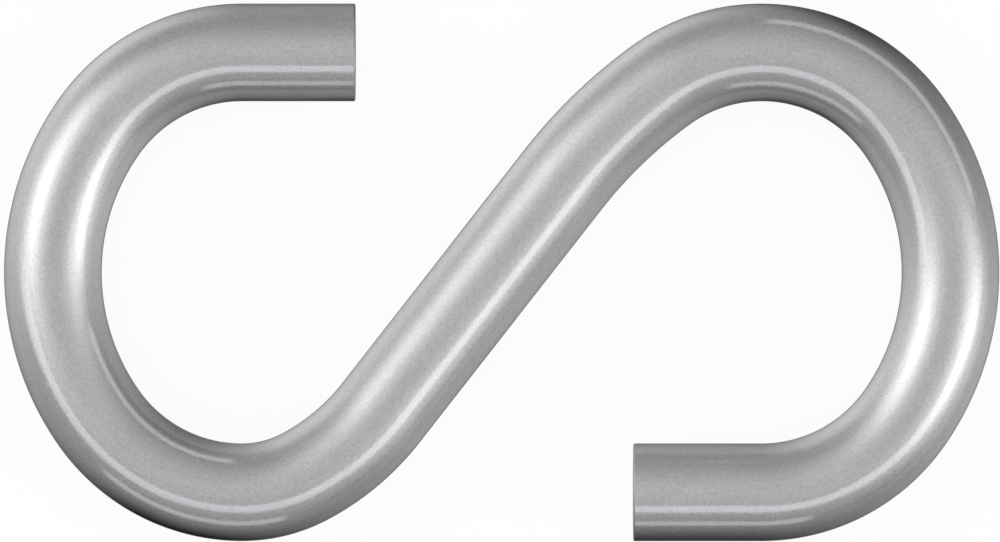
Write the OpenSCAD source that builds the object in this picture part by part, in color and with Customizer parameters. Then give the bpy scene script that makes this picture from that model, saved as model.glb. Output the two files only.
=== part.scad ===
// S hook: one length of round steel bar, sawn off square at both ends and cold-bent in
// one plane into two open hooks that face opposite ways. Millimetres. The bent bar lies
// flat on z = 0, its length along X, with the origin under the middle of its outline.
// Bend radii are those inside the bend, where the bar is wrapped round the former.

/* [Bar] */
// Diameter of the round bar
bar_d = 8; // [6:0.5:10]
// Edge filed off round each sawn end
edge_break = 0.15; // [0.05:0.05:0.5]

/* [Bowls] */
// Clear height inside each bowl, between its point and its foot
bowl_clear = 28; // [26:0.5:36]
// Inside radius of the two shoulders of each bowl
shoulder_inner_r = 10.3; // [8:0.1:12]
// Angle that the flatter crown of each bowl turns through
crown_turn = 70; // [50:1:90]

/* [Points] */
// Straight length of the left hook's point, up to its sawn face
left_point = 9.3; // [5:0.1:12]
// Straight length of the right hook's point, up to its sawn face
right_point = 10.5; // [5:0.1:12]

/* [Shank] */
// Slope of the straight shank from the hook's long axis
shank_angle = 52; // [48:1:56]

/* [Heels] */
// Inside radius of the left heel, between the bowl's foot and the sweep
left_heel_inner_r = 7; // [5:0.5:12]
// Inside radius of the left sweep, which runs the bend out into the shank
left_sweep_inner_r = 15.5; // [10:0.5:24]
// Angle that the left sweep turns through
left_sweep_turn = 24; // [6:1:28]
// Inside radius of the right heel, between the bowl's foot and the sweep
right_heel_inner_r = 10; // [5:0.5:12]
// Inside radius of the right sweep, which runs the bend out into the shank
right_sweep_inner_r = 36; // [10:0.5:40]
// Angle that the right sweep turns through
right_sweep_turn = 16; // [6:1:24]

/* [Hidden] */
$fn = 96;

// The bar is laid out in metres and enlarged to millimetres once it is whole: at that size
// the rounding that each turn of the layout brings is too small to part its joints.
metre = 1000;

// Each stretch runs this much into the next, so that they stay one solid when a size changes
lap = 0.00005;

bar_r = bar_d / 2;

// Height of each bowl's centreline above and below the hook's long axis
bowl_half = (bowl_clear + bar_d) / 2;

// Two shoulders and a crown turn the bar right back on itself. The crown's centre lies on
// the line through each shoulder's centre and the joint between the two arcs, so its
// radius follows from the height that the bowl has left above the shoulder's radius.
shoulder_turn = (180 - crown_turn) / 2;
crown_inner_r = shoulder_inner_r + (bowl_half - bar_r - shoulder_inner_r) / cos(shoulder_turn);

// How far the centreline of a bend runs and rises as its slope goes from one angle to another
function bend_run(inner_r, from, to) = (inner_r + bar_r) * (sin(to) - sin(from));
function bend_rise(inner_r, from, to) = (inner_r + bar_r) * (cos(from) - cos(to));

// The same from a bowl's foot, through its heel and sweep, to the end of the shank
function heel_run(heel_inner_r, sweep_inner_r, sweep_turn) =
    bend_run(heel_inner_r, 0, shank_angle - sweep_turn)
    + bend_run(sweep_inner_r, shank_angle - sweep_turn, shank_angle);
function heel_rise(heel_inner_r, sweep_inner_r, sweep_turn) =
    bend_rise(heel_inner_r, 0, shank_angle - sweep_turn)
    + bend_rise(sweep_inner_r, shank_angle - sweep_turn, shank_angle);

left_run = heel_run(left_heel_inner_r, left_sweep_inner_r, left_sweep_turn);
left_rise = heel_rise(left_heel_inner_r, left_sweep_inner_r, left_sweep_turn);
right_run = heel_run(right_heel_inner_r, right_sweep_inner_r, right_sweep_turn);
right_rise = heel_rise(right_heel_inner_r, right_sweep_inner_r, right_sweep_turn);

// The shank is as long as the rise that the two heels leave for it, and the bowls' feet
// then lie the same distance to each side of the origin
shank_len = (2 * bowl_half - left_rise - right_rise) / sin(shank_angle);
foot_x = (left_run + shank_len * cos(shank_angle) + right_run) / 2;

// Straight bar along +X. Its children carry on from its end.
module straight(length) {
    translate([-lap / metre, 0, 0])
        rotate([0, 90, 0]) cylinder(h = (length + 2 * lap) / metre, r = bar_r / metre);
    translate([length / metre, 0, 0]) children();
}

// Bar that leaves along +X and bends to the right. Its children carry on from its end.
module bend(inner_r, turn) {
    path_r = inner_r + bar_r;
    lap_turn = lap / path_r * 180 / PI;
    translate([0, -path_r / metre, 0]) {
        rotate(90 - turn - lap_turn)
            rotate_extrude(angle = turn + lap_turn)
                translate([path_r / metre, 0]) circle(r = bar_r / metre);
        rotate(-turn) translate([0, path_r / metre, 0]) children();
    }
}

// Square sawn face with its edge broken
module sawn_end() {
    rotate([0, 90, 0])
        cylinder(h = edge_break / metre, r1 = bar_r / metre, r2 = (bar_r - edge_break) / metre);
}

// One hook, from the end of the shank round to its point
module hook(heel_inner_r, sweep_inner_r, sweep_turn, point_len) {
    bend(sweep_inner_r, sweep_turn)
        bend(heel_inner_r, shank_angle - sweep_turn)
        bend(shoulder_inner_r, shoulder_turn)
        bend(crown_inner_r, crown_turn)
        bend(shoulder_inner_r, shoulder_turn)
        straight(point_len - edge_break)
        sawn_end();
}

module s_hook() {
    color([0.68, 0.68, 0.69])
        translate([left_run - foot_x, left_rise - bowl_half, bar_r])
        rotate(shank_angle)
        scale(metre) {
            straight(shank_len)
                hook(right_heel_inner_r, right_sweep_inner_r, right_sweep_turn, right_point);
            rotate(180)
                hook(left_heel_inner_r, left_sweep_inner_r, left_sweep_turn, left_point);
        }
}

s_hook();
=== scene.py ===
from math import cos, radians, sin

import bpy
import numpy as np
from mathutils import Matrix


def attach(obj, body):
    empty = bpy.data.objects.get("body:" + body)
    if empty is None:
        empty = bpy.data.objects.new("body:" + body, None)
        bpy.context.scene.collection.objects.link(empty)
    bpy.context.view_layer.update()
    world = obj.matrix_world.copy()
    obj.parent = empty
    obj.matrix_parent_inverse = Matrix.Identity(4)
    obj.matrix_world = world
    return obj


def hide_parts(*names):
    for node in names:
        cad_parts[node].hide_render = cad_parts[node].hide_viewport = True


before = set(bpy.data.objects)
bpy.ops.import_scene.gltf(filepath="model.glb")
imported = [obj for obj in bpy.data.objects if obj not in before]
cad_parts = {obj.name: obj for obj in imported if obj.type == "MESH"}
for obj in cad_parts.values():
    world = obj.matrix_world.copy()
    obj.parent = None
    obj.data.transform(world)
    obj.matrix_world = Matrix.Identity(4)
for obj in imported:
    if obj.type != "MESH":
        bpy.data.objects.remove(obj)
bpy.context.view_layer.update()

# ---- The bar ------------------------------------------------------------------------------
# One length of round mild steel bar, 8 mm thick, with no joint, weld or fixing. It is drawn,
# sawn off square and bent cold round formers, in one plane, into two open hooks that face
# opposite ways. Then it is barrel-plated to an even satin.

MM = 0.001
BAR_R = 4.0
EDGE_BREAK = 0.15
LEFT_POINT = 9.3
RIGHT_POINT = 10.5
SHANK_ANGLE = 52.0

# How far the middle of the bar is from the hook's long axis at each bowl's point and foot
BOWL_HALF = 18.0

# Each bend's radius to the middle of the bar, and the degrees that it turns. A heel and its
# sweep turn the bar to the shank's slope, and a bowl turns it right back on itself.
CROWN_TURN = 70.0
SHOULDER = (14.3, (180.0 - CROWN_TURN) / 2)
LEFT_SWEEP = (19.5, 24.0)
LEFT_HEEL = (11.0, SHANK_ANGLE - LEFT_SWEEP[1])
RIGHT_SWEEP = (40.0, 16.0)
RIGHT_HEEL = (14.0, SHANK_ANGLE - RIGHT_SWEEP[1])

# The crown meets each shoulder without a kink, so its centre lies on the line through that
# shoulder's centre and their joint. Its radius follows from the height left over.
CROWN = (SHOULDER[0] + (BOWL_HALF - SHOULDER[0]) / cos(radians(SHOULDER[1])), CROWN_TURN)

# Rings of the skin: round the bar, along it, round the filed edge, and across a sawn face.
# The one just past the filed edge, and the one just inside it, keep its shading narrow.
SIDES = 96
RINGS_PER_MM = 2.0
EDGE_RINGS = 6
FACE_RINGS = np.linspace(3.6, 0.2, 18)
EDGE_GUARD = 0.02

DULL_STEEL = (0.36, 0.36, 0.361, 1)
BRIGHT_STEEL = (0.52, 0.52, 0.521, 1)
# A darker steel for the filed edge: a painted shade at each end
SHADED_FILED_STEEL = (0.33, 0.33, 0.331, 1)
SAWN_DARK = (0.30, 0.30, 0.301, 1)
SAWN_BRIGHT = (0.50, 0.50, 0.501, 1)
STEEL_EDGE = (0.58, 0.58, 0.58, 1)


def climb(heel, sweep):
    """How far the bar climbs from level through a heel and its sweep.

    Each arc climbs by its radius times the drop in the cosine of the bar's slope along it.
    """
    foot, joint, shank = np.cos(np.radians([0.0, heel[1], SHANK_ANGLE]))
    return heel[0] * (foot - joint) + sweep[0] * (joint - shank)


def straight(length):
    """A stretch of bar that doesn't turn: its length, and no degrees."""
    return length, 0.0


def bend(radius_and_turn, side):
    """A bent stretch: the length of its arc, which is radius times angle, and its degrees."""
    radius, turn = radius_and_turn
    return radius * np.radians(turn), turn * side


def centreline(start_y, stretches):
    """The middle of the bar along its whole length, from a face where it runs towards -X.

    The heading is a straight-line function of the length along the bar within each stretch,
    so it is interpolated between the joints. A short step of arc with half turn h is a chord
    of the step's length times sin(h) / h, along the mean of the headings at its two ends, and
    the points are the running sum of the chords, centred on the origin along X.
    """
    lengths, turns = np.array(stretches).T
    joints = np.concatenate([[0.0], np.cumsum(lengths)])
    headings = 180.0 + np.concatenate([[0.0], np.cumsum(turns)])
    counts = np.maximum(np.ceil(lengths * RINGS_PER_MM), 1).astype(int)
    along = np.concatenate(
        [np.linspace(a, b, n, endpoint=False) for a, b, n in zip(joints, joints[1:], counts)]
        + [joints[-1:]]
    )
    angle = np.radians(np.interp(along, joints, headings))
    half = np.diff(angle) / 2
    chord = np.diff(along) * np.sinc(half / np.pi)
    middle = angle[:-1] + half
    step = chord[:, None] * np.stack([np.cos(middle), np.sin(middle)], 1)
    points = np.concatenate([np.zeros((1, 2)), np.cumsum(step, 0)])
    middle_x = (points[:, 0].min() + points[:, 0].max()) / 2
    return along, angle, points + [-middle_x, start_y]


def sawn_end(outward):
    """Rings that close one end: a quarter round for the filed edge, then the flat face.

    Each ring is its distance along the bar from the sawn face and its radius. The quarter
    round is the edge break times (cos t, sin t), and the face's radii shrink evenly.
    """
    t = np.linspace(0.0, np.pi / 2, EDGE_RINGS + 1)[1:]
    edge_along = EDGE_BREAK * (np.sin(t) - 1)
    edge_radius = BAR_R - EDGE_BREAK * (1 - np.cos(t))
    face_radius = np.concatenate([[BAR_R - EDGE_BREAK - EDGE_GUARD], FACE_RINGS])
    face_along = np.zeros_like(face_radius)
    along = np.concatenate([edge_along, face_along]) * outward
    radius = np.concatenate([edge_radius, face_radius])
    return (along, radius) if outward > 0 else (along[::-1], radius[::-1])


def bar_mesh(name):
    """The bar's skin: a circle carried along the centreline, closed by a point at each end.

    At a length along the bar with heading h, the surface is the centreline's point plus the
    ring's radius times (cos a on the bar's own side, sin a upward), for a once round. Each
    vertex keeps (length along the bar, side, height) of the straight bar that was bent, and
    its distance along the bar from the nearer sawn face.
    """
    # The shank is as long as it takes to climb what the heels and sweeps leave
    climbed = climb(LEFT_HEEL, LEFT_SWEEP) + climb(RIGHT_HEEL, RIGHT_SWEEP)
    shank = (2 * BOWL_HALF - climbed) / sin(radians(SHANK_ANGLE))
    along, angle, points = centreline(BOWL_HALF, [
        straight(LEFT_POINT),
        bend(SHOULDER, 1), bend(CROWN, 1), bend(SHOULDER, 1),
        bend(LEFT_HEEL, 1), bend(LEFT_SWEEP, 1),
        straight(shank),
        bend(RIGHT_SWEEP, -1), bend(RIGHT_HEEL, -1),
        bend(SHOULDER, -1), bend(CROWN, -1), bend(SHOULDER, -1),
        straight(RIGHT_POINT),
    ])
    total = along[-1]
    first, last = sawn_end(-1), sawn_end(1)
    full = np.array([EDGE_BREAK, EDGE_BREAK + EDGE_GUARD])
    inside = along[(along > full[1]) & (along < total - full[1])]
    rings = np.concatenate([first[0], full, inside, total - full[::-1], total + last[0]])
    radius = np.concatenate([first[1], np.full(inside.size + 2 * full.size, BAR_R), last[1]])
    x = np.interp(rings, along, points[:, 0])
    y = np.interp(rings, along, points[:, 1])
    heading = np.interp(rings, along, angle)
    a = np.linspace(0.0, 2 * np.pi, SIDES, endpoint=False)
    side = radius[:, None] * np.cos(a)
    up = radius[:, None] * np.sin(a)
    skin = np.stack([
        x[:, None] - np.sin(heading)[:, None] * side,
        y[:, None] + np.cos(heading)[:, None] * side,
        BAR_R + up,
    ], -1).reshape(-1, 3)
    drawn = np.stack([np.broadcast_to(rings[:, None], side.shape), side, up], -1).reshape(-1, 3)
    to_face = np.repeat(np.minimum(rings, total - rings), SIDES)
    caps = np.array([[x[0], y[0], BAR_R], [x[-1], y[-1], BAR_R]])
    drawn_caps = np.array([[rings[0], 0.0, 0.0], [rings[-1], 0.0, 0.0]])
    corner = np.arange(rings.size * SIDES).reshape(rings.size, SIDES)
    beside = np.roll(corner, -1, 1)
    quads = np.stack([corner[:-1], beside[:-1], beside[1:], corner[1:]], -1).reshape(-1, 4)
    start, end = len(skin), len(skin) + 1
    fans = np.concatenate([
        np.stack([np.full(SIDES, start), beside[0], corner[0]], -1),
        np.stack([np.full(SIDES, end), corner[-1], beside[-1]], -1),
    ])
    vertices = np.concatenate([skin, caps]) * MM
    mesh = bpy.data.meshes.new(name)
    mesh.from_pydata(vertices.tolist(), [], quads.tolist() + fans.tolist())
    mesh.shade_smooth()
    drawn_bar = mesh.attributes.new("drawn_bar", "FLOAT_VECTOR", "POINT")
    drawn_bar.data.foreach_set("vector", np.concatenate([drawn, drawn_caps]).ravel())
    from_saw = mesh.attributes.new("from_saw", "FLOAT", "POINT")
    from_saw.data.foreach_set("value", np.concatenate([to_face, np.zeros(len(caps))]))
    mesh.validate()
    return mesh


def placed(name, data):
    """A new object at the origin, in the scene."""
    made = bpy.data.objects.new(name, data)
    bpy.context.collection.objects.link(made)
    return made


bar = placed("bent_bar", bar_mesh("bent_bar"))
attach(bar, "root")
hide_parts("s_hook")

# The bar's own bends don't show in its satin skin, so it stays out of its reflections
bar.visible_glossy = False


class Term:
    """An output in a node tree. Arithmetic on it adds Math nodes."""

    def __init__(self, tree, socket=None):
        self.tree = tree
        self.socket = socket

    def node(self, kind, settings, sockets, output=0):
        """Adds a node: its settings come first, then a value or a link for each socket."""
        made = self.tree.nodes.new(kind)
        for name, value in settings.items():
            setattr(made, name, value)
        for name, value in sockets.items():
            if isinstance(value, Term):
                self.tree.links.new(value.socket, made.inputs[name])
            else:
                made.inputs[name].default_value = value
        return Term(self.tree, made.outputs[output] if made.outputs else None)

    def math(self, operation, *values):
        """Adds a Math node on these values."""
        return self.node("ShaderNodeMath", {"operation": operation}, dict(enumerate(values)))

    def __add__(self, other):
        return self.math("ADD", self, other)

    def __radd__(self, other):
        return self.math("ADD", other, self)

    def __sub__(self, other):
        return self.math("SUBTRACT", self, other)

    def __rsub__(self, other):
        return self.math("SUBTRACT", other, self)

    def __mul__(self, other):
        return self.math("MULTIPLY", self, other)

    def __rmul__(self, other):
        return self.math("MULTIPLY", other, self)

    def __pow__(self, other):
        return self.math("POWER", self, other)

    def rise(self, low, high):
        """0 below low and 1 above high, with a smooth step between them."""
        return self.node(
            "ShaderNodeMapRange", {"interpolation_type": "SMOOTHSTEP"},
            {"Value": self, "From Min": low, "From Max": high},
        )

    def blend(self, none, full):
        """The colour none where this is 0 and full where it is 1."""
        return self.node("ShaderNodeMix", {"data_type": "RGBA"}, {0: self, 6: none, 7: full}, 2)

    def axis(self, name):
        """One axis, X, Y or Z, of this vector."""
        return self.node("ShaderNodeSeparateXYZ", {}, {"Vector": self}, name)

    def noise(self, scale, detail=3.0, stretch=(1.0, 1.0, 1.0)):
        """Fractal noise about 0 at this place, with each axis scaled by stretch."""
        where = self.node(
            "ShaderNodeVectorMath", {"operation": "MULTIPLY"}, {0: self, 1: stretch}
        )
        sockets = {"Vector": where, "Scale": scale, "Detail": detail}
        return self.node("ShaderNodeTexNoise", {}, sockets) - 0.5


def empty_tree(owner):
    """The node tree of a material or a world, with nothing in it."""
    owner.use_nodes = True
    owner.node_tree.nodes.clear()
    return Term(owner.node_tree)


# The skin's detail, on the millimetres of the straight bar. The barrel leaves a fine dull
# speckle, the drawing die left long lines under it, and a faint cloud lies over both.
steel = bpy.data.materials.new("satin_drawn_steel")
tree = empty_tree(steel)
drawn = tree.node("ShaderNodeAttribute", {"attribute_name": "drawn_bar"}, {}, "Vector")
speckle = drawn.noise(4.4)
die_lines = drawn.noise(4.0, stretch=(0.05, 1.5, 1.5))
cloud = drawn.noise(0.6, detail=2.0, stretch=(0.5, 1.0, 1.0))

# The filed edge is dull, and its darker colour is a painted shade at each end; the sawn face
# keeps the saw's own marks
from_saw = tree.node("ShaderNodeAttribute", {"attribute_name": "from_saw"}, {}, "Fac")
sawn = 1 - from_saw.rise(EDGE_BREAK - 0.03, EDGE_BREAK)
sawn_face = 1 - from_saw.rise(0.0, 0.01)
saw_lines = drawn.noise(2.4, stretch=(1.0, 0.12, 3.0))

shade = 0.5 + 1.2 * speckle + 0.35 * die_lines + 0.25 * cloud
face_shade = 0.5 + 2.0 * saw_lines + 0.6 * speckle
# The filed edge takes the darker steel, a painted shade
skin_colour = sawn.blend(shade.blend(DULL_STEEL, BRIGHT_STEEL), SHADED_FILED_STEEL)
colour = sawn_face.blend(skin_colour, face_shade.blend(SAWN_DARK, SAWN_BRIGHT))
roughness = 0.11 + 0.10 * speckle + 0.06 * die_lines + 0.05 * cloud + 0.34 * sawn
relief = speckle + 0.5 * die_lines + 6.0 * sawn_face * saw_lines
bump = tree.node(
    "ShaderNodeBump", {}, {"Height": relief, "Strength": 0.45, "Distance": 0.00001}
)
surface = tree.node("ShaderNodeBsdfPrincipled", {}, {
    "Base Color": colour, "Roughness": roughness, "Normal": bump,
    "Metallic": 1.0, "Specular Tint": STEEL_EDGE,
})
tree.node("ShaderNodeOutputMaterial", {}, {"Surface": surface})
bar.data.materials.append(steel)

# ---- The floor ----------------------------------------------------------------------------
# A plain white sheet of card that the hook lies on. The camera sees it white, with a faint soft
# shadow under the bar. The steel's reflections pass through the card, except in a patch inside
# each bowl where they see some of its white: a painted reflection that lightens the bowls'
# inner sides.

FLOOR_HALF = 3.0
CARD = (0.85, 0.85, 0.85, 1)
CARD_AS_WHITE = 0.92

# The patch of card that shows in the steel, a painted reflection: how far its middle lies from
# the hook's own, to each side and across, where it starts to fade and where it ends, and its
# share
PATCH_X, PATCH_Y = 0.0187, -0.0045
PATCH_CORE, PATCH_RIM = 0.0118, 0.0198
PAINTED_REFLECTION_SHARE = 0.28

card = bpy.data.meshes.new("floor")
corners = np.array([[-1, -1, 0], [1, -1, 0], [1, 1, 0], [-1, 1, 0]]) * FLOOR_HALF
card.from_pydata(corners.tolist(), [], [(0, 1, 2, 3)])
floor = placed("floor", card)


def ray(tree, kind):
    """1 for a ray of one kind, such as Camera or Shadow, and 0 for any other."""
    return tree.node("ShaderNodeLightPath", {}, {}, "Is %s Ray" % kind)


white_card = bpy.data.materials.new("white_card")
tree = empty_tree(white_card)
matt = tree.node("ShaderNodeBsdfDiffuse", {}, {"Color": CARD})
white = tree.node("ShaderNodeEmission", {}, {"Strength": 1.0})
clear = tree.node("ShaderNodeBsdfTransparent", {}, {})
as_white = CARD_AS_WHITE * (ray(tree, "Camera") + ray(tree, "Transmission")) \
    + ray(tree, "Glossy")
seen = tree.node("ShaderNodeMixShader", {}, {0: as_white, 1: matt, 2: white})

here = tree.node("ShaderNodeTexCoord", {}, {}, "Object")
off_x = tree.math("ABSOLUTE", here.axis("X")) - PATCH_X
off_y = here.axis("Y") - PATCH_Y
# Only inside this patch do the steel's reflections see the card: a painted reflection
bowl_reflection_patch = 1 - ((off_x * off_x + off_y * off_y) ** 0.5).rise(PATCH_CORE, PATCH_RIM)
see_through = ray(tree, "Glossy") * (1 - PAINTED_REFLECTION_SHARE * bowl_reflection_patch) + ray(tree, "Shadow")
card_surface = tree.node("ShaderNodeMixShader", {}, {0: see_through, 1: seen, 2: clear})
tree.node("ShaderNodeOutputMaterial", {}, {"Surface": card_surface})
card.materials.append(white_card)

# ---- The light ----------------------------------------------------------------------------
# A pale room. A round soft box stands to the left and a longer one to the right, a curved
# strip light joins them at the near side, and two thin edge lights stand near the floor.
# Each is placed where it shows on a mirror ball under the camera, one unit in radius.

# The room at eye level, how much it gains up to the ceiling and loses down to the floor,
# how much darker the skirting is, the darkest that it gets, and the floor straight below
ROOM_LEVEL = 0.43
ROOM_GAIN = 0.40
SKIRTING = 0.06
ROOM_LEAST = 0.02
UNDERFOOT = 0.20

# The brightness of each light
LEFT_WALL, LEFT_DOOR = 1.18, 0.40
RIGHT_WALL, RIGHT_DOOR = 0.79, 0.25
LEFT_BOX, RIGHT_BOX = 1.94, 1.68
STRIP = 0.50
EDGE_LIGHT = 0.40

# The strip is part of a ring. Its middle, inner side, outer side and faded ends, on the ball
STRIP_Y = 0.33
STRIP_INNER = (0.592, 0.622)
STRIP_OUTER = (0.715, 0.765)
STRIP_ENDS = (-0.15, 0.10)

# The edge lights: how far out they show on the ball, their fading sides and their ends
EDGE_LIGHT_OUT = 0.634
EDGE_LIGHT_SIDES = (0.034, 0.052)
EDGE_LIGHT_FADE = 2.0

# The strip's tubes are a little cooler than the rest of the light, most of all round the
# azimuth of its front, in degrees
NEUTRAL = (1, 1, 1, 1)
COOL = (0.987, 0.978, 1.032, 1)
STRIP_FRONT = 262

# How much of the plain white backdrop shows in the steel
BACKDROP_SHARE = 0.1

room = bpy.data.worlds.new("room")
bpy.context.scene.world = room
tree = empty_tree(room)
way = tree.node("ShaderNodeTexCoord", {}, {}, "Generated")
halfway = tree.node("ShaderNodeVectorMath", {"operation": "ADD"}, {0: way, 1: (0, 0, 1)})
ball = tree.node("ShaderNodeVectorMath", {"operation": "NORMALIZE"}, {0: halfway})
ball_x, ball_y = ball.axis("X"), ball.axis("Y")


def distance(x, y, long=1.0, lean=0.0):
    """How far a point of the ball is from (x, y), on a scale long times longer along lean."""
    c, s = cos(radians(lean)), sin(radians(lean))
    dx, dy = ball_x - x, ball_y - y
    along = (dx * c + dy * s) * (1 / long)
    across = dy * c - dx * s
    return (along * along + across * across) ** 0.5


out = distance(0, 0)


def facing(azimuth):
    """The cosine of the angle round the room from an azimuth, and 0 past a right angle."""
    lean = (ball_x * cos(radians(azimuth)) + ball_y * sin(radians(azimuth))) * out ** -1.0
    return tree.math("MAXIMUM", lean, 0.0)


def soft_box(bright, x, y, size, fall, long, lean):
    """A soft box, bright in the middle: bright / (1 + (distance / size) squared) ** fall."""
    off = distance(x, y, long, lean) * (1 / size)
    return bright * (1 + off * off) ** -fall


def wall(azimuth, narrow, start, full):
    """A lit stretch of wall: facing ** narrow, rising from start to full down the ball."""
    return facing(azimuth) ** narrow * out.rise(start, full)


def edge_light(azimuth, half_angle):
    """A thin light at one height all along, between two azimuths."""
    ends = facing(azimuth).rise(
        cos(radians(half_angle + EDGE_LIGHT_FADE)), cos(radians(half_angle - EDGE_LIGHT_FADE))
    )
    off = tree.math("ABSOLUTE", out - EDGE_LIGHT_OUT)
    return ends * (1 - off.rise(*EDGE_LIGHT_SIDES))


height = 1 - 2 * out * out
low = out.rise(0.69, 0.87)
dim_room = tree.math(
    "MAXIMUM", ROOM_LEVEL + ROOM_GAIN * height - SKIRTING * low, ROOM_LEAST
)
left_wall = (LEFT_WALL - dim_room) * wall(151.5, narrow=1.23, start=0.50, full=0.953) \
    + LEFT_DOOR * wall(126, narrow=8.0, start=0.665, full=0.895)
right_wall = (RIGHT_WALL - dim_room) * wall(-11, narrow=1.6, start=0.69, full=1.0) \
    + RIGHT_DOOR * wall(-20, narrow=3.3, start=0.665, full=0.737)
left_box = soft_box(LEFT_BOX, -0.441, 0.133, size=0.40, fall=3.83, long=1.01, lean=45)
right_box = soft_box(RIGHT_BOX, 0.489, -0.121, size=0.373, fall=3.62, long=1.07, lean=45)
ring = distance(0, STRIP_Y)
strip = ring.rise(*STRIP_INNER) * (1 - ring.rise(*STRIP_OUTER)) * (1 - ball_y.rise(*STRIP_ENDS))
edges = edge_light(51, 36.5) + edge_light(256, 28.5)
glow = dim_room + left_wall + right_wall + left_box + right_box \
    + STRIP * strip + EDGE_LIGHT * edges
under = out.rise(0.97, 0.998)
glow = glow + under * (UNDERFOOT - glow)

tint = (strip * facing(STRIP_FRONT) ** 3.0).blend(NEUTRAL, COOL)
strength = (glow - BACKDROP_SHARE) * (1 / (1 - BACKDROP_SHARE))
lit = tree.node("ShaderNodeBackground", {}, {"Color": tint, "Strength": strength})
plain = tree.node("ShaderNodeBackground", {}, {"Color": NEUTRAL, "Strength": 1.0})
plain_share = ray(tree, "Camera") + ray(tree, "Transmission") \
    + BACKDROP_SHARE * ray(tree, "Glossy")
seen_room = tree.node("ShaderNodeMixShader", {}, {0: plain_share, 1: lit, 2: plain})
tree.node("ShaderNodeOutputWorld", {}, {"Surface": seen_room})

# ---- The camera ---------------------------------------------------------------------------
# A long lens straight above the hook, with the hook's long axis across the picture.

LENS = 600.0
SENSOR = 36.0
VIEW_WIDTH = 0.081849
VIEW_CENTRE = (-0.000138, 0.000110)

lens = bpy.data.cameras.new("camera")
lens.lens = LENS
lens.sensor_width = SENSOR
lens.clip_start = 0.1
lens.clip_end = 10.0
camera = placed("camera", lens)
camera.location = (*VIEW_CENTRE, BAR_R * MM + VIEW_WIDTH * LENS / SENSOR)
bpy.context.scene.camera = camera
bpy.context.scene.view_settings.view_transform = "Standard"
